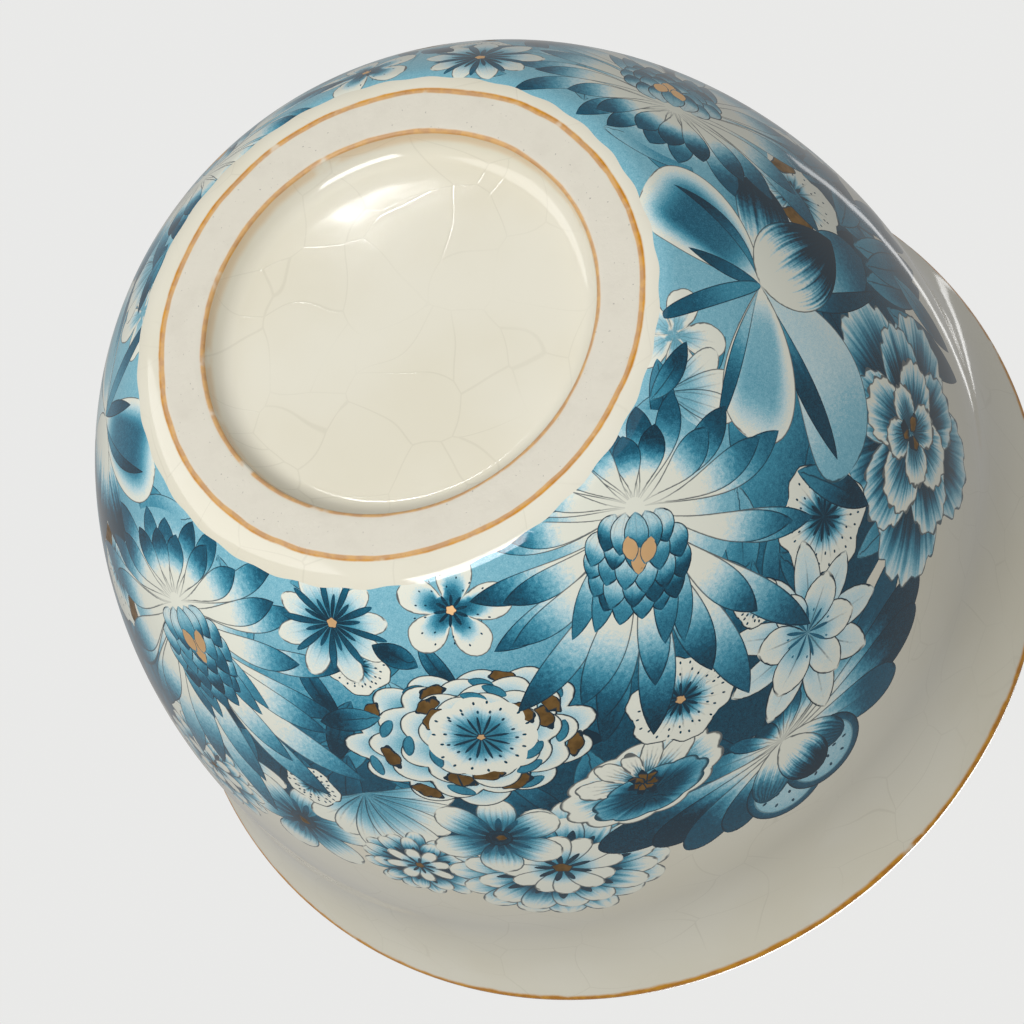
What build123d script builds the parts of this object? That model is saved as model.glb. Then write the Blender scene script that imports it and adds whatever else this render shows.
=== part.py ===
from build123d import *
import os
from math import atan2, cos, sin

# A gaiwan, the lidded bowl that tea is brewed in and sipped from.  It is two pieces of
# glazed stoneware: the bowl, and a domed lid that nests inside the bowl's flared lip.
# Millimetres, +Z up.  The origin is the middle of the plane that the foot stands on.
# Every outline is drawn in the plane y = 0, as radius and height, and turned about Z.

# ---- the bowl -------------------------------------------------------------------------
rim_diameter = 94.0
bowl_height = 63.6

foot_diameter = 46.2            # outside of the bare ring that the bowl stands on
foot_ring_width = 4.35
foot_recess = 2.4               # how far the base is hollowed inside that ring
foot_recess_round = 2.2
foot_edge_radius = 4.5          # the foot rolls into the belly with no step
foot_edge_turn = 40.0           # degrees from level at the end of that roll

lip_flare = 3.3                 # the lip stands out this far past the neck
lip_flare_height = 16.6         # from the neck, where the wall is upright, to the lip
belly_pull_low = 0.305          # how far the wall keeps its low slope, as a share of its run
belly_pull_high = 0.336         # and how far it keeps upright under the neck

base_thickness = 3.8            # at the middle of the bowl
low_wall = 4.4                  # where the floor turns up; the wall thins evenly from there
neck_wall = 2.8
lip_wall = 2.2
inner_pull = 0.33               # the two pulls of the inner wall
floor_turn_share = 0.25         # how far along the belly the floor has turned into the wall

# ---- the lid --------------------------------------------------------------------------
lid_seat_depth = 5.5            # from the lip down to the middle of the lid's edge
lid_rise = 15.0                 # from the middle of its edge to the top of the dome
lid_wall = 3.0
lid_edge_thickness = 2.4
lid_seat_clearance = 0.2        # between the lid's edge and the flare that it rests on

knob_base_diameter = 23.0
knob_top_diameter = 27.0
knob_height = 8.0               # over the top of the dome
knob_wall = 2.8
knob_hollow_depth = 5.5
knob_hollow_round = 2.0


def inset(curve, share, wall):
    """The point one wall thickness inside an outer curve, square to it."""
    along = curve % share
    return (curve @ share) + Vector(-along.Y, along.X) * wall


def rising_wall(start, direction, top, pull_low, pull_high):
    """A wall that leaves its start in a direction and comes upright at its top."""
    run = (top - start).length
    return Bezier(
        start, start + direction * run * pull_low, top - Vector(0, 1) * run * pull_high, top
    )


def turned(outline):
    """The solid that a closed outline sweeps about the vertical axis."""
    return revolve(Plane.XZ * make_face(outline), Axis.Z)


# ---- outside of the bowl --------------------------------------------------------------
rim_radius = rim_diameter / 2
foot_radius = foot_diameter / 2
recess_radius = foot_radius - foot_ring_width
neck = Vector(rim_radius - lip_flare, bowl_height - lip_flare_height)

foot_edge = JernArc((foot_radius, 0), (1, 0), foot_edge_radius, foot_edge_turn)
belly = rising_wall(foot_edge @ 1, foot_edge % 1, neck, belly_pull_low, belly_pull_high)

# The lip is a half round at the end of the flare, as high and as wide as the bowl.
lip_radius = lip_wall / 2
lip_middle = Vector(rim_radius - lip_radius, bowl_height - lip_radius)
lip_lean = TangentArc(neck - Vector(lip_radius, 0), lip_middle, tangent=(0, 1)) % 1
lip_side = Vector(lip_lean.Y, -lip_lean.X)
lip_outer = lip_middle + lip_side * lip_radius
lip_inner = lip_middle - lip_side * lip_radius
flare = TangentArc(neck, lip_outer, tangent=(0, 1))

# ---- inside of the bowl ---------------------------------------------------------------
# A level floor, an arc that turns it up, and a wall that thins up to the neck.
floor_height = foot_recess + base_thickness
neck_inner = inset(belly, 1, neck_wall)
wall_start = inset(belly, floor_turn_share, low_wall)
wall_direction = belly % floor_turn_share
inner_wall = rising_wall(wall_start, wall_direction, neck_inner, inner_pull, inner_pull)
turn_radius = (wall_start.Y - floor_height) / (1 - wall_direction.X)
floor_edge = Vector(wall_start.X - turn_radius * wall_direction.Y, floor_height)
floor_turn = TangentArc(floor_edge, wall_start, tangent=(1, 0))
inner_flare = TangentArc(neck_inner, lip_inner, tangent=(0, 1))
lip_round = ThreePointArc(lip_outer, lip_middle + lip_lean * lip_radius, lip_inner)

# ---- underside of the foot ------------------------------------------------------------
recess_corner = JernArc(
    (recess_radius - foot_recess_round, foot_recess), (1, 0), foot_recess_round, -90
)
bowl_outline = Curve() + [
    Line((0, foot_recess), recess_corner @ 0),
    recess_corner,
    Line(recess_corner @ 1, (recess_radius, 0)),
    Line((recess_radius, 0), (foot_radius, 0)),
    foot_edge,
    belly,
    flare,
    lip_round,
    inner_flare,
    inner_wall,
    floor_turn,
    Line(floor_edge, (0, floor_height)),
    Line((0, floor_height), (0, foot_recess)),
]

# ---- seat of the lid ------------------------------------------------------------------
# The lid's edge is a half round, whose middle runs on a circle.  The flare is an arc, so
# the middle lies on a larger arc about the same centre, one clearance further in.
edge_radius = lid_edge_thickness / 2
seat_height = bowl_height - lid_seat_depth
flare_radius = inner_flare.radius
seat_arc_radius = flare_radius + lid_seat_clearance + edge_radius
seat_climb = seat_height - neck_inner.Y
edge_circle_radius = neck_inner.X + flare_radius - (seat_arc_radius**2 - seat_climb**2) ** 0.5

# ---- outline of the lid ---------------------------------------------------------------
# The edge's middle and the dome's top face lie on two spheres about one centre.
middle_radius = (edge_circle_radius**2 + lid_rise**2) / (2 * lid_rise)
dome_radius = middle_radius + edge_radius
dome_centre = Vector(0, seat_height + lid_rise - middle_radius)


def on_dome(radius):
    """The point of the dome's top face at a radius from the axis."""
    return Vector(radius, dome_centre.Y + (dome_radius**2 - radius**2) ** 0.5)


edge_slope = atan2(seat_height - dome_centre.Y, edge_circle_radius)
edge_out = Vector(cos(edge_slope), sin(edge_slope))
edge_middle = Vector(edge_circle_radius, seat_height)
edge_top = edge_middle + edge_out * edge_radius
edge_under = edge_middle - edge_out * edge_radius
edge_tip = edge_middle + Vector(edge_out.Y, -edge_out.X) * edge_radius

dome_top_height = seat_height + lid_rise + edge_radius
knob_base_radius = knob_base_diameter / 2
knob_top_radius = knob_top_diameter / 2
knob_top_height = dome_top_height + knob_height
knob_round = knob_wall / 2
knob_foot = on_dome(knob_base_radius)
knob_shoulder = Vector(knob_top_radius, knob_top_height - knob_round)
hollow_floor = knob_top_height - knob_hollow_depth
hollow_radius = knob_top_radius - knob_wall
hollow_corner = JernArc(
    (hollow_radius, hollow_floor + knob_hollow_round), (0, -1), knob_hollow_round, -90
)
dome = ThreePointArc(edge_top, on_dome((knob_base_radius + edge_top.X) / 2), knob_foot)
under_crown = Vector(0, dome_top_height - lid_wall)
under_dome = Spline(under_crown, edge_under, tangents=[(1, 0), Vector(edge_out.Y, -edge_out.X)])

lid_outline = Curve() + [
    under_dome,
    ThreePointArc(edge_under, edge_tip, edge_top),
    dome,
    TangentArc(knob_shoulder, knob_foot, tangent=(0, -1)),
    JernArc(knob_shoulder, (0, 1), knob_round, 180),
    Line((hollow_radius, knob_top_height - knob_round), hollow_corner @ 0),
    hollow_corner,
    Line(hollow_corner @ 1, (0, hollow_floor)),
    Line((0, hollow_floor), under_crown),
]

pieces = {"bowl": turned(bowl_outline), "lid": turned(lid_outline)}

os.makedirs("parts", exist_ok=True)
for name, solid in pieces.items():
    solid.label = name
    export_step(solid, f"parts/{name}.step")

print(f"belly starts {belly.position_at(0).X:.2f} out, {belly.position_at(0).Y:.2f} up")
print(f"lid diameter {2 * (edge_circle_radius + edge_radius):.2f}, edge {seat_height:.2f} up")
print(f"lid dome radius {dome_radius:.2f}, overall height {knob_top_height:.2f}")
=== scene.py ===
# %% [markdown]
# # A gaiwan in crackle glaze with a blue flower print
#
# A gaiwan is a lidded bowl for brewing tea: a bowl on a low foot ring, and a domed lid
# that rests inside the bowl's flared lip. This lesson dresses a finished CAD model of one.
# The CAD gives the place and size of each piece. Here the two pieces get a skin of the
# same shape, which carries the glaze, the printed flowers, the gold and the bare foot.

# %% Load the frame
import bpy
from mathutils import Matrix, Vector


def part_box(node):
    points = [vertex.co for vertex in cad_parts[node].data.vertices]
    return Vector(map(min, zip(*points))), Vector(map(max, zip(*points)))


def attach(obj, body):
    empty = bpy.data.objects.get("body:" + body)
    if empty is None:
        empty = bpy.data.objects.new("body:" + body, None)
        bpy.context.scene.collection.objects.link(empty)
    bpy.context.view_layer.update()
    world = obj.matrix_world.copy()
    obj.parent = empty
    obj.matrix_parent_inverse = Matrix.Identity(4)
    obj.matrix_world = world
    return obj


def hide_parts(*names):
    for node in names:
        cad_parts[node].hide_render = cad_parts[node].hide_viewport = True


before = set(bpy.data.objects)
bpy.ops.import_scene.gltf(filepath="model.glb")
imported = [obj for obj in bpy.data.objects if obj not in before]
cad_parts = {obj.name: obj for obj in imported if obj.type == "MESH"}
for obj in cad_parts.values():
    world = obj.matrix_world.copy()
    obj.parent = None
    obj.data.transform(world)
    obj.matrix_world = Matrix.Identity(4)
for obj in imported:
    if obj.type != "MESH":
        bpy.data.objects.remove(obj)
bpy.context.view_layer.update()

# %% [markdown]
# ## Tools for the whole lesson
#
# Sizes are thought of in millimetres, because a potter measures in them, and turned into
# metres where a mesh or a lamp is made. Everything random comes from one seeded source,
# so each run draws the same flowers.

# %% Units and imports
import math
from math import cos, hypot, pi, radians, sin

import bpy
import numpy as np
from mathutils import Matrix, Vector
from mathutils.geometry import delaunay_2d_cdt

MM = 0.001
chance = np.random.default_rng(7)

# %% [markdown]
# ## The outline of each piece
#
# A thrown bowl is one outline turned about an axis. The outline is a chain of arcs and
# one or two curves, each starting in the direction in which the last one ended. It could
# be drawn by hand as a Bezier curve in the viewport, but then it would only be near the
# CAD shape. Working it out from the same few sizes gives the same shape exactly.
# A point is (radius, height), and a heading is an angle from level.

# %% Curves that an outline is made of
def heading_vector(heading):
    """The direction of a heading."""
    return np.array([cos(heading), sin(heading)])


def turn(start, heading, radius, angle, steps=16):
    """An arc that leaves a point along a heading and turns left by an angle."""
    side = math.copysign(1.0, angle)
    centre = np.array(start) + side * radius * np.array([-sin(heading), cos(heading)])
    headings = heading + np.linspace(0, angle, steps)
    out = np.column_stack([np.sin(headings), -np.cos(headings)])
    return centre + side * radius * out


def arc_to(start, end, heading, steps=24):
    """The arc that leaves one point along a heading and ends at another, and its end heading."""
    across = np.array(end) - np.array(start)
    half = math.atan2(across[1], across[0]) - heading
    half = (half + pi) % (2 * pi) - pi
    radius = hypot(*across) / (2 * abs(sin(half)))
    return turn(start, heading, radius, 2 * half, steps), heading + 2 * half


def pulled_curve(start, low, high, end, steps):
    """A Bezier curve from start to end, pulled towards low and then high."""
    share = np.linspace(0, 1, steps)[:, None]
    left = 1 - share
    curve = left**3 * start + 3 * left**2 * share * low
    return curve + 3 * left * share**2 * high + share**3 * end


def rising_wall(start, heading, top, pull_low, pull_high, steps=60):
    """A wall that leaves its start along a heading and comes upright at its top."""
    start, top = np.array(start), np.array(top)
    run = hypot(*(top - start))
    low = start + heading_vector(heading) * run * pull_low
    return pulled_curve(start, low, top - np.array([0, run * pull_high]), top, steps)


def heading_at(curve, step):
    """The heading of a curve of points at one of its steps."""
    low, high = curve[max(step - 1, 0)], curve[min(step + 1, len(curve) - 1)]
    return math.atan2(high[1] - low[1], high[0] - low[0])


def inset(point, heading, wall):
    """The point one wall thickness inside an outer curve, square to it."""
    return np.array(point) + wall * np.array([-sin(heading), cos(heading)])


class Outline:
    """A chain of curves, measured along its length, with the length where each part ends."""

    def __init__(self, **parts):
        chain, self.ends = [], {}
        for name, part in parts.items():
            chain.extend(part if not chain else part[1:])
            self.ends[name] = len(chain) - 1
        self.points = np.array(chain, float)
        steps = np.hypot(*np.diff(self.points, axis=0).T)
        self.length = np.concatenate([[0], np.cumsum(steps)])
        self.ends = {name: self.length[index] for name, index in self.ends.items()}

    def radius(self, along):
        """The outline's distance from the axis, at lengths along it."""
        return np.interp(along, self.length, self.points[:, 0])

    def height(self, along):
        """The outline's height, at lengths along it."""
        return np.interp(along, self.length, self.points[:, 1])

    def outward(self, along, reach=0.15):
        """The direction that the surface faces, as (radial, up), at lengths along it."""
        ahead, behind = along + reach, along - reach
        level = self.radius(ahead) - self.radius(behind)
        climb = self.height(ahead) - self.height(behind)
        size = np.hypot(level, climb)
        return climb / size, -level / size


# %% Outline of the bowl
rim_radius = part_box("bowl")[1].x / MM
bowl_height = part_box("bowl")[1].z / MM
foot_radius = 23.1
foot_ring_width = 4.35
foot_recess = 2.4
foot_recess_round = 2.2
foot_inner_round = 0.3
foot_edge_radius = 4.5
foot_edge_turn = radians(40)
lip_flare = 3.3
lip_flare_height = 16.6
belly_pulls = (0.305, 0.336)
base_thickness = 3.8
low_wall = 4.4
neck_wall = 2.8
lip_radius = 1.1
inner_pull = 0.33
floor_turn_step = 15

upright = pi / 2
recess_radius = foot_radius - foot_ring_width
floor_height = foot_recess + base_thickness
neck = np.array([rim_radius - lip_flare, bowl_height - lip_flare_height])

foot_edge = turn((foot_radius, 0), 0, foot_edge_radius, foot_edge_turn)
belly = rising_wall(foot_edge[-1], foot_edge_turn, neck, *belly_pulls, steps=61)
lip_middle = np.array([rim_radius - lip_radius, bowl_height - lip_radius])
lip_heading = arc_to(neck - [lip_radius, 0], lip_middle, upright)[1]
lip_outer = inset(lip_middle, lip_heading, -lip_radius)
flare = arc_to(neck, lip_outer, upright)[0]
lip_round = turn(lip_outer, lip_heading, lip_radius, pi)
neck_inner = inset(neck, upright, neck_wall)
inner_flare = arc_to(neck_inner, lip_round[-1], upright)[0]

wall_heading = heading_at(belly, floor_turn_step)
wall_start = inset(belly[floor_turn_step], wall_heading, low_wall)
inner_wall = rising_wall(wall_start, wall_heading, neck_inner, inner_pull, inner_pull)
turn_radius = (wall_start[1] - floor_height) / (1 - cos(wall_heading))
floor_edge = (wall_start[0] - turn_radius * sin(wall_heading), floor_height)
floor_turn = turn(floor_edge, 0, turn_radius, wall_heading)

recess_edge = (recess_radius - foot_recess_round, foot_recess)
ring_inner = (recess_radius, foot_inner_round)
bowl_outline = Outline(
    base=[(0, foot_recess), recess_edge],
    recess=turn(recess_edge, 0, foot_recess_round, -upright),
    ring_edge=turn(ring_inner, -upright, foot_inner_round, upright, 6),
    ring=[(recess_radius + foot_inner_round, 0), (foot_radius, 0)],
    foot=foot_edge,
    belly=belly,
    flare=flare,
    lip=lip_round,
    inner_flare=inner_flare[::-1],
    inner_wall=inner_wall[::-1],
    floor_turn=floor_turn[::-1],
    floor=[floor_edge, (0, floor_height)],
)
print("bowl outline, mm:", {k: round(v, 2) for k, v in bowl_outline.ends.items()})

# %% [markdown]
# The lid's outline starts under its crown, runs out to the half-round edge that rests on
# the flare, climbs the dome, and goes up, over and down into the ring knob. Its knob was
# thrown apart and luted on, but it is fired as one with the lid, so it is one outline.

# %% Outline of the lid
edge_radius = 1.2
lid_wall = 3.0
knob_base_radius = 11.5
knob_top_radius = 13.5
knob_height = 8.0
knob_wall = 2.8
knob_hollow_depth = 5.5
knob_hollow_round = 2.0
under_pull = 0.34

lid_low, lid_high = (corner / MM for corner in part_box("lid"))
edge_middle = np.array([lid_high.x - edge_radius, lid_low.z + edge_radius])
dome_top = lid_high.z - knob_height
lid_rise = dome_top - edge_radius - edge_middle[1]
middle_radius = (edge_middle[0] ** 2 + lid_rise**2) / (2 * lid_rise)
dome_radius = middle_radius + edge_radius
dome_centre = dome_top - dome_radius

edge_slope = math.atan2(edge_middle[1] - dome_centre, edge_middle[0])
edge_out = heading_vector(edge_slope)
edge_under = edge_middle - edge_out * edge_radius
edge_round = turn(edge_under, edge_slope - upright, edge_radius, pi)
dome_slope = math.acos(knob_base_radius / dome_radius)
dome = turn(edge_round[-1], edge_slope + upright, dome_radius, dome_slope - edge_slope, 60)

under_crown = np.array([0, dome_top - lid_wall])
under_run = hypot(*(edge_under - under_crown)) * under_pull
level_end = under_crown + [under_run, 0]
edge_end = edge_under - heading_vector(edge_slope - upright) * under_run
under_dome = pulled_curve(under_crown, level_end, edge_end, edge_under, 40)

knob_round = knob_wall / 2
knob_shoulder = (knob_top_radius, lid_high.z - knob_round)
knob_side = arc_to(knob_shoulder, dome[-1], -upright)[0][::-1]
hollow_radius = knob_top_radius - knob_wall
hollow_floor = lid_high.z - knob_hollow_depth
hollow_start = (hollow_radius, hollow_floor + knob_hollow_round)
lid_outline = Outline(
    under=under_dome,
    edge=edge_round,
    dome=dome,
    knob=knob_side,
    knob_top=turn(knob_shoulder, upright, knob_round, pi),
    hollow_wall=[(hollow_radius, knob_shoulder[1]), hollow_start],
    hollow=turn(hollow_start, -upright, knob_hollow_round, -upright),
    hollow_floor=[(hollow_radius - knob_hollow_round, hollow_floor), (0, hollow_floor)],
)
print("lid outline, mm:", {k: round(v, 2) for k, v in lid_outline.ends.items()})

# %% [markdown]
# ## The flower print
#
# The print is a decal: a thousand overlapping petals and dots, shaded from pale to dark,
# with thin dark outlines. A picture of it would need an image, and would blur close up. Here
# every petal is a closed shape on a flat sheet instead. Later the sheet is cut into
# triangles along every outline, and each triangle learns where it lies in the topmost
# petal over it. The shader then shades each petal from its own coordinates.
#
# Two kinds of shape are enough for the flowers. A *blade* is a long petal or leaf about a
# bent middle line. A *lobe* is drawn about a point, with a wavy edge: a broad petal, or a
# whole disc.

# %% Petals
class Petal:
    """What blades and lobes share: a place on the sheet, and how the shader shades it.

    tone is (at the base, at the tip, where they blend, blush in the middle), from 0 for
    the white of the print to 1 for navy. veins is (how many, how dark): they spring from
    the base, or with a darkness below 0 from the tip. gold is 0 for none, about a half for
    dull bronze and 1 for bright gold. line is how dark the outline is.
    """

    def __init__(self, place, heading, tone, veins=(0, 0), gold=0, line=1.0):
        self.place = np.array(place, float)
        self.heading = heading
        self.tone = tone
        self.veins = veins
        self.gold = gold
        self.line = line
        self.seed = chance.random()

    def on_sheet(self, local):
        """Points given along and beside the petal's heading, as points of the sheet."""
        ahead, aside = heading_vector(self.heading)
        return self.place + local @ np.array([[ahead, aside], [-aside, ahead]])

    def from_sheet(self, points):
        """Points of the sheet, as points along and beside the petal's heading."""
        ahead, aside = heading_vector(self.heading)
        return (points - self.place) @ np.array([[ahead, -aside], [aside, ahead]])


class Blade(Petal):
    """A petal of a length and a half width, whose middle line bends aside by a share."""

    def __init__(self, place, heading, length, half, bend=0.0, powers=(1.1, 0.6), **look):
        super().__init__(place, heading, **look)
        self.length, self.half, self.bend, self.powers = length, half, bend, powers
        widest = powers[0] / (powers[0] + powers[1])
        self.most = widest ** powers[0] * (1 - widest) ** powers[1]

    def width(self, share):
        """The half width at a share of the length."""
        share = np.clip(share, 1e-4, 1 - 1e-4)
        rise, fall = self.powers
        return self.half * share**rise * (1 - share) ** fall / self.most

    def outline(self):
        share = (1 - np.cos(np.linspace(0, pi, max(13, int(self.length * 1.7))))) / 2
        wide = self.width(share)
        wide[[0, -1]] = 0
        middle = self.bend * self.length * share**2
        left = np.column_stack([share * self.length, middle + wide])
        right = np.column_stack([share * self.length, middle - wide])
        return self.on_sheet(np.vstack([left, right[-2:0:-1]]))

    def coordinates(self, points):
        """Along, across, the half width square to the edge, across again, vein scale."""
        local = self.from_sheet(points)
        share = np.clip(local[:, 0] / self.length, 0, 1)
        wide = self.width(share)
        slope = (self.width(share + 0.01) - self.width(share - 0.01)) / (0.02 * self.length)
        across = np.clip((local[:, 1] - self.bend * self.length * share**2) / wide, -1, 1)
        return share, across, wide / np.hypot(1, slope), across, wide


class Lobe(Petal):
    """A shape about a point, with a scalloped edge: a fan, or with spread pi a disc."""

    def __init__(self, place, heading, reach, spread=pi, waves=(0, 0), fine=(0, 0),
                 squash=1.0, **look):
        super().__init__(place, heading, **look)
        self.reach, self.spread, self.waves, self.fine = reach, spread, waves, fine
        self.squash = np.array([1.0, squash])
        self.start = chance.random() * pi

    def edge(self, angle):
        """The distance from the point to the edge, at an angle from the heading."""
        scallop = np.abs(np.cos(self.waves[0] * angle / 2 + self.start)) ** 0.7
        ripple = self.waves[1] * (scallop - 1)
        ripple = ripple + self.fine[1] * np.cos(self.fine[0] * angle + 2 * self.start)
        edge = self.reach * (1 + ripple)
        if self.spread < pi:
            side = np.clip(np.cos(angle * pi / 2 / self.spread), 1e-4, 1)
            edge = edge * side**0.4
        return edge

    def outline(self):
        steps = int(12 + self.reach * 8 * self.spread / pi)
        steps = max(steps, int(self.waves[0] * 11 * self.spread / pi) + 8)
        angle = np.linspace(-self.spread, self.spread, steps, endpoint=False)
        if self.spread < pi:
            swing = np.linspace(-pi / 2, pi / 2, steps)
            angle = self.spread * np.sin(swing) * 0.999
        edge = self.edge(angle)
        ring = np.column_stack([edge * np.cos(angle), edge * np.sin(angle)])
        if self.spread < pi:
            ring = np.vstack([[0, 0], ring])
        return self.on_sheet(ring * self.squash)

    def coordinates(self, points):
        local = self.from_sheet(points) / self.squash
        far = np.hypot(*local.T)
        angle = np.clip(np.arctan2(local[:, 1], local[:, 0]), -self.spread, self.spread)
        edge = np.maximum(self.edge(angle), 1e-3)
        slope = (self.edge(angle + 0.01) - self.edge(angle - 0.01)) / 0.02 / edge
        share = np.clip(far / edge, 0, 1)
        square = edge / np.hypot(1, slope) * self.squash.min()
        return share, share, square, angle / self.spread, np.maximum(far, 0.05) * self.spread


# %% [markdown]
# ## Flowers
#
# Each kind of flower is a short function that lays its petals down from the back to the
# front, so that later ones cover earlier ones. They all draw on one list, the drawing.
# A flower's size is in millimetres of the sheet. Small random differences in length,
# heading and tone keep two flowers of a kind from looking stamped.

# %% Small helpers for drawing
drawing = []


def vary(value, share=0.08):
    """A value changed at random by up to a share of itself."""
    return value * (1 + share * (2 * chance.random() - 1))


def from_centre(place, heading, distance):
    """A point at a distance from another along a heading."""
    return np.array(place) + distance * heading_vector(heading)


def blade(*shape, **look):
    """Lays a blade on the drawing."""
    drawing.append(Blade(*shape, **look))


def lobe(*shape, **look):
    """Lays a lobe on the drawing."""
    drawing.append(Lobe(*shape, **look))


def disc(place, reach, tone, **look):
    """Lays a lobe that goes right round its point."""
    lobe(place, 0, reach, tone=tone, **look)


def dots(place, reach, count, size=0.2, tone=0.95, squash=1.0):
    """A ring of printed dots."""
    for step in range(count):
        heading = 2 * pi * (step + 0.3 * chance.random()) / count
        spot = vary(reach, 0.1) * heading_vector(heading) * (1, squash) + place
        blade(spot - heading_vector(heading) * size, heading, 2.2 * size, size * 0.7, 0,
              (0.5, 0.5), tone=(tone, tone, 0.5, 0), line=0.0)


def patch(place, size, heading=0.0, long=1.5, gold=1.0):
    """A patch of gold with a lumpy edge: bright gold at 1, dull bronze at a half."""
    lobe(place, heading, 0.5 * size * long, fine=(5, 0.1), squash=1.1 / long,
         tone=(1, 1, 0.5, 0), gold=gold)


def rosette(place, count, length, half, tone, start=0.0, hole=0.0, powers=(1.1, 0.6), **look):
    """Blades set evenly round a point."""
    for step in range(count):
        heading = start + 2 * pi * step / count + 0.05 * (chance.random() - 0.5)
        root = from_centre(place, heading, hole)
        blade(root, heading, vary(length), vary(half), 0.1 * (chance.random() - 0.5), powers,
              tone=tone, **look)


def whorl(place, count, reach, spread, tone, start=0.0, **look):
    """Broad scalloped petals set evenly round a point."""
    for step in range(count):
        heading = start + 2 * pi * step / count + 0.1 * (chance.random() - 0.5)
        lobe(place, heading, vary(reach), spread, tone=tone, **look)


# %% Chrysanthemum
def chrysanthemum(place, size, lean):
    """Long pointed petals from one white point, and a scaly bud that leans out of it."""
    disc(place, 0.45 * size, (-0.1, 0.42, 0.7, 0), line=0.0)
    for row, (count, reach, half) in enumerate(((17, 1.0, 0.07), (15, 0.82, 0.068))):
        for side in 2 * pi * (np.arange(count) + 0.5 * row) / count:
            side = side - 0.3 * sin(side) + 0.14 * (chance.random() - 0.5)
            length = vary(reach * size * (0.72 + 0.28 * cos(side)), 0.1)
            bend = 0.12 * sin(side) + 0.12 * (chance.random() - 0.5)
            tone = (-0.15, vary(0.88, 0.12), vary(0.65 + 0.09 * cos(side), 0.06), 0.0)
            blade(place, lean + side, length, vary(half * size), bend, (2.3, 0.95), tone=tone)
    disc(place, 0.045 * size, (-0.1, -0.1, 0.5, 0), line=0.0)
    for aside in (-1.3, 1.3, -0.9, 0.9):
        root = from_centre(place, lean + 0.4 * aside, 0.06 * size)
        blade(root, lean + 0.5 * aside, vary(0.5 * size), 0.055 * size, -0.24 * aside, (1.8, 0.9),
              tone=(-0.1, vary(0.75, 0.15), 0.62, 0.0))
    for far, wide, count in ((0.29, 0.07, 4), (0.23, 0.12, 5), (0.16, 0.15, 6),
                             (0.09, 0.145, 5), (0.02, 0.09, 5)):
        asides = np.linspace(-1, 1, count)
        for aside in asides[np.argsort(-np.abs(asides))]:
            root = from_centre(place, lean, far * size)
            root = from_centre(root, lean + pi / 2, wide * size * aside)
            tone = (vary(0.2, 0.6), vary(0.8, 0.22), vary(0.58, 0.2), 0.0)
            blade(root, lean + 0.5 * aside, vary((0.2 - 0.04 * aside**2) * size), 0.056 * size,
                  -0.2 * aside, (0.75, 0.8), tone=tone, veins=(3, 0.2), line=1.2)
    for aside, far, reach in ((0.0, 0.17, 0.12), (-1.0, 0.12, 0.115), (1.1, 0.13, 0.12)):
        root = from_centre(place, lean, far * size)
        root = from_centre(root, lean + pi / 2, (0.052 * aside + 0.01) * size)
        blade(root, lean - 0.25 * aside, reach * size, 0.036 * size, 0.0, (0.8, 0.8),
              tone=(0.6, 0.6, 0.5, 0), gold=1.0)


# %% Peonies
def dotted_peony(place, size, squash=1.0):
    """Scalloped rings, pale at the rim, patched with bronze, about a dotted heart."""
    start = chance.random() * pi
    rings = ((1.0, 13, 0.1, 0.74), (0.82, 11, 0.07, 0.8), (0.64, 9, 0.03, 0.88), (0.48, 7, 0, 1.0))
    for ring, (reach, scallops, aside, low) in enumerate(rings):
        middle = from_centre(place, 0, aside * size)
        tone = (0.6 - 0.1 * ring, -0.12, 0.84, 0)
        flat = low * squash
        disc(middle, reach * size, tone, waves=(scallops, 0.16), fine=(5, 0.03), squash=flat,
             line=1.2)
        for step in range(4 - ring // 2):
            heading = start + 2.4 * ring + 2 * pi * step / (4 - ring // 2)
            spot = middle + 0.86 * reach * size * heading_vector(heading) * (1, flat)
            patch(spot, 0.12 * size, heading + pi / 2, 2.1, 0.5)
            spot = middle + 0.83 * reach * size * heading_vector(heading + 0.8) * (1, flat)
            blade(spot, heading + 2.2, 0.22 * size, 0.05 * size, 0.1, (0.6, 0.6),
                  tone=(0.66, 0.7, 0.5, 0))
    disc(place, 0.43 * size, (0.66, -0.05, 0.6, 0), waves=(7, 0.14), squash=squash, line=0.0,
         veins=(23, 0.3))
    dots(place, 0.35 * size, 18, squash=squash)
    dots(place, 0.27 * size, 14, squash=squash)
    rosette(place, 13, 0.22 * size, 0.012 * size, (1, 1, 0.5, 0), start, line=0.0)
    patch(place, 0.06 * size, 0, 1.3)


def ruffled_peony(place, size):
    """Broad veined petals, dark at the root and white at the ruffled edge."""
    start = chance.random() * pi
    rim = dict(waves=(30, 0.07), fine=(47, 0.012), veins=(13, 0.85))
    whorl(place, 5, size, 0.82, (1.0, 0.0, 0.84, 0), start, **rim)
    whorl(place, 5, 0.8 * size, 0.74, (1.0, 0.0, 0.82, 0), start + 0.6, **rim)
    whorl(place, 4, 0.58 * size, 0.85, (0.85, -0.05, 0.74, 0), start + 0.2, **rim)
    whorl(place, 4, 0.36 * size, 0.9, (0.7, -0.05, 0.7, 0), start + 0.9, **rim)
    for step in range(3):
        spot = from_centre(place, start + 2.1 * step, 0.08 * size)
        patch(spot, 0.09 * size, start + step, 1.7, 0.6)


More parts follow.
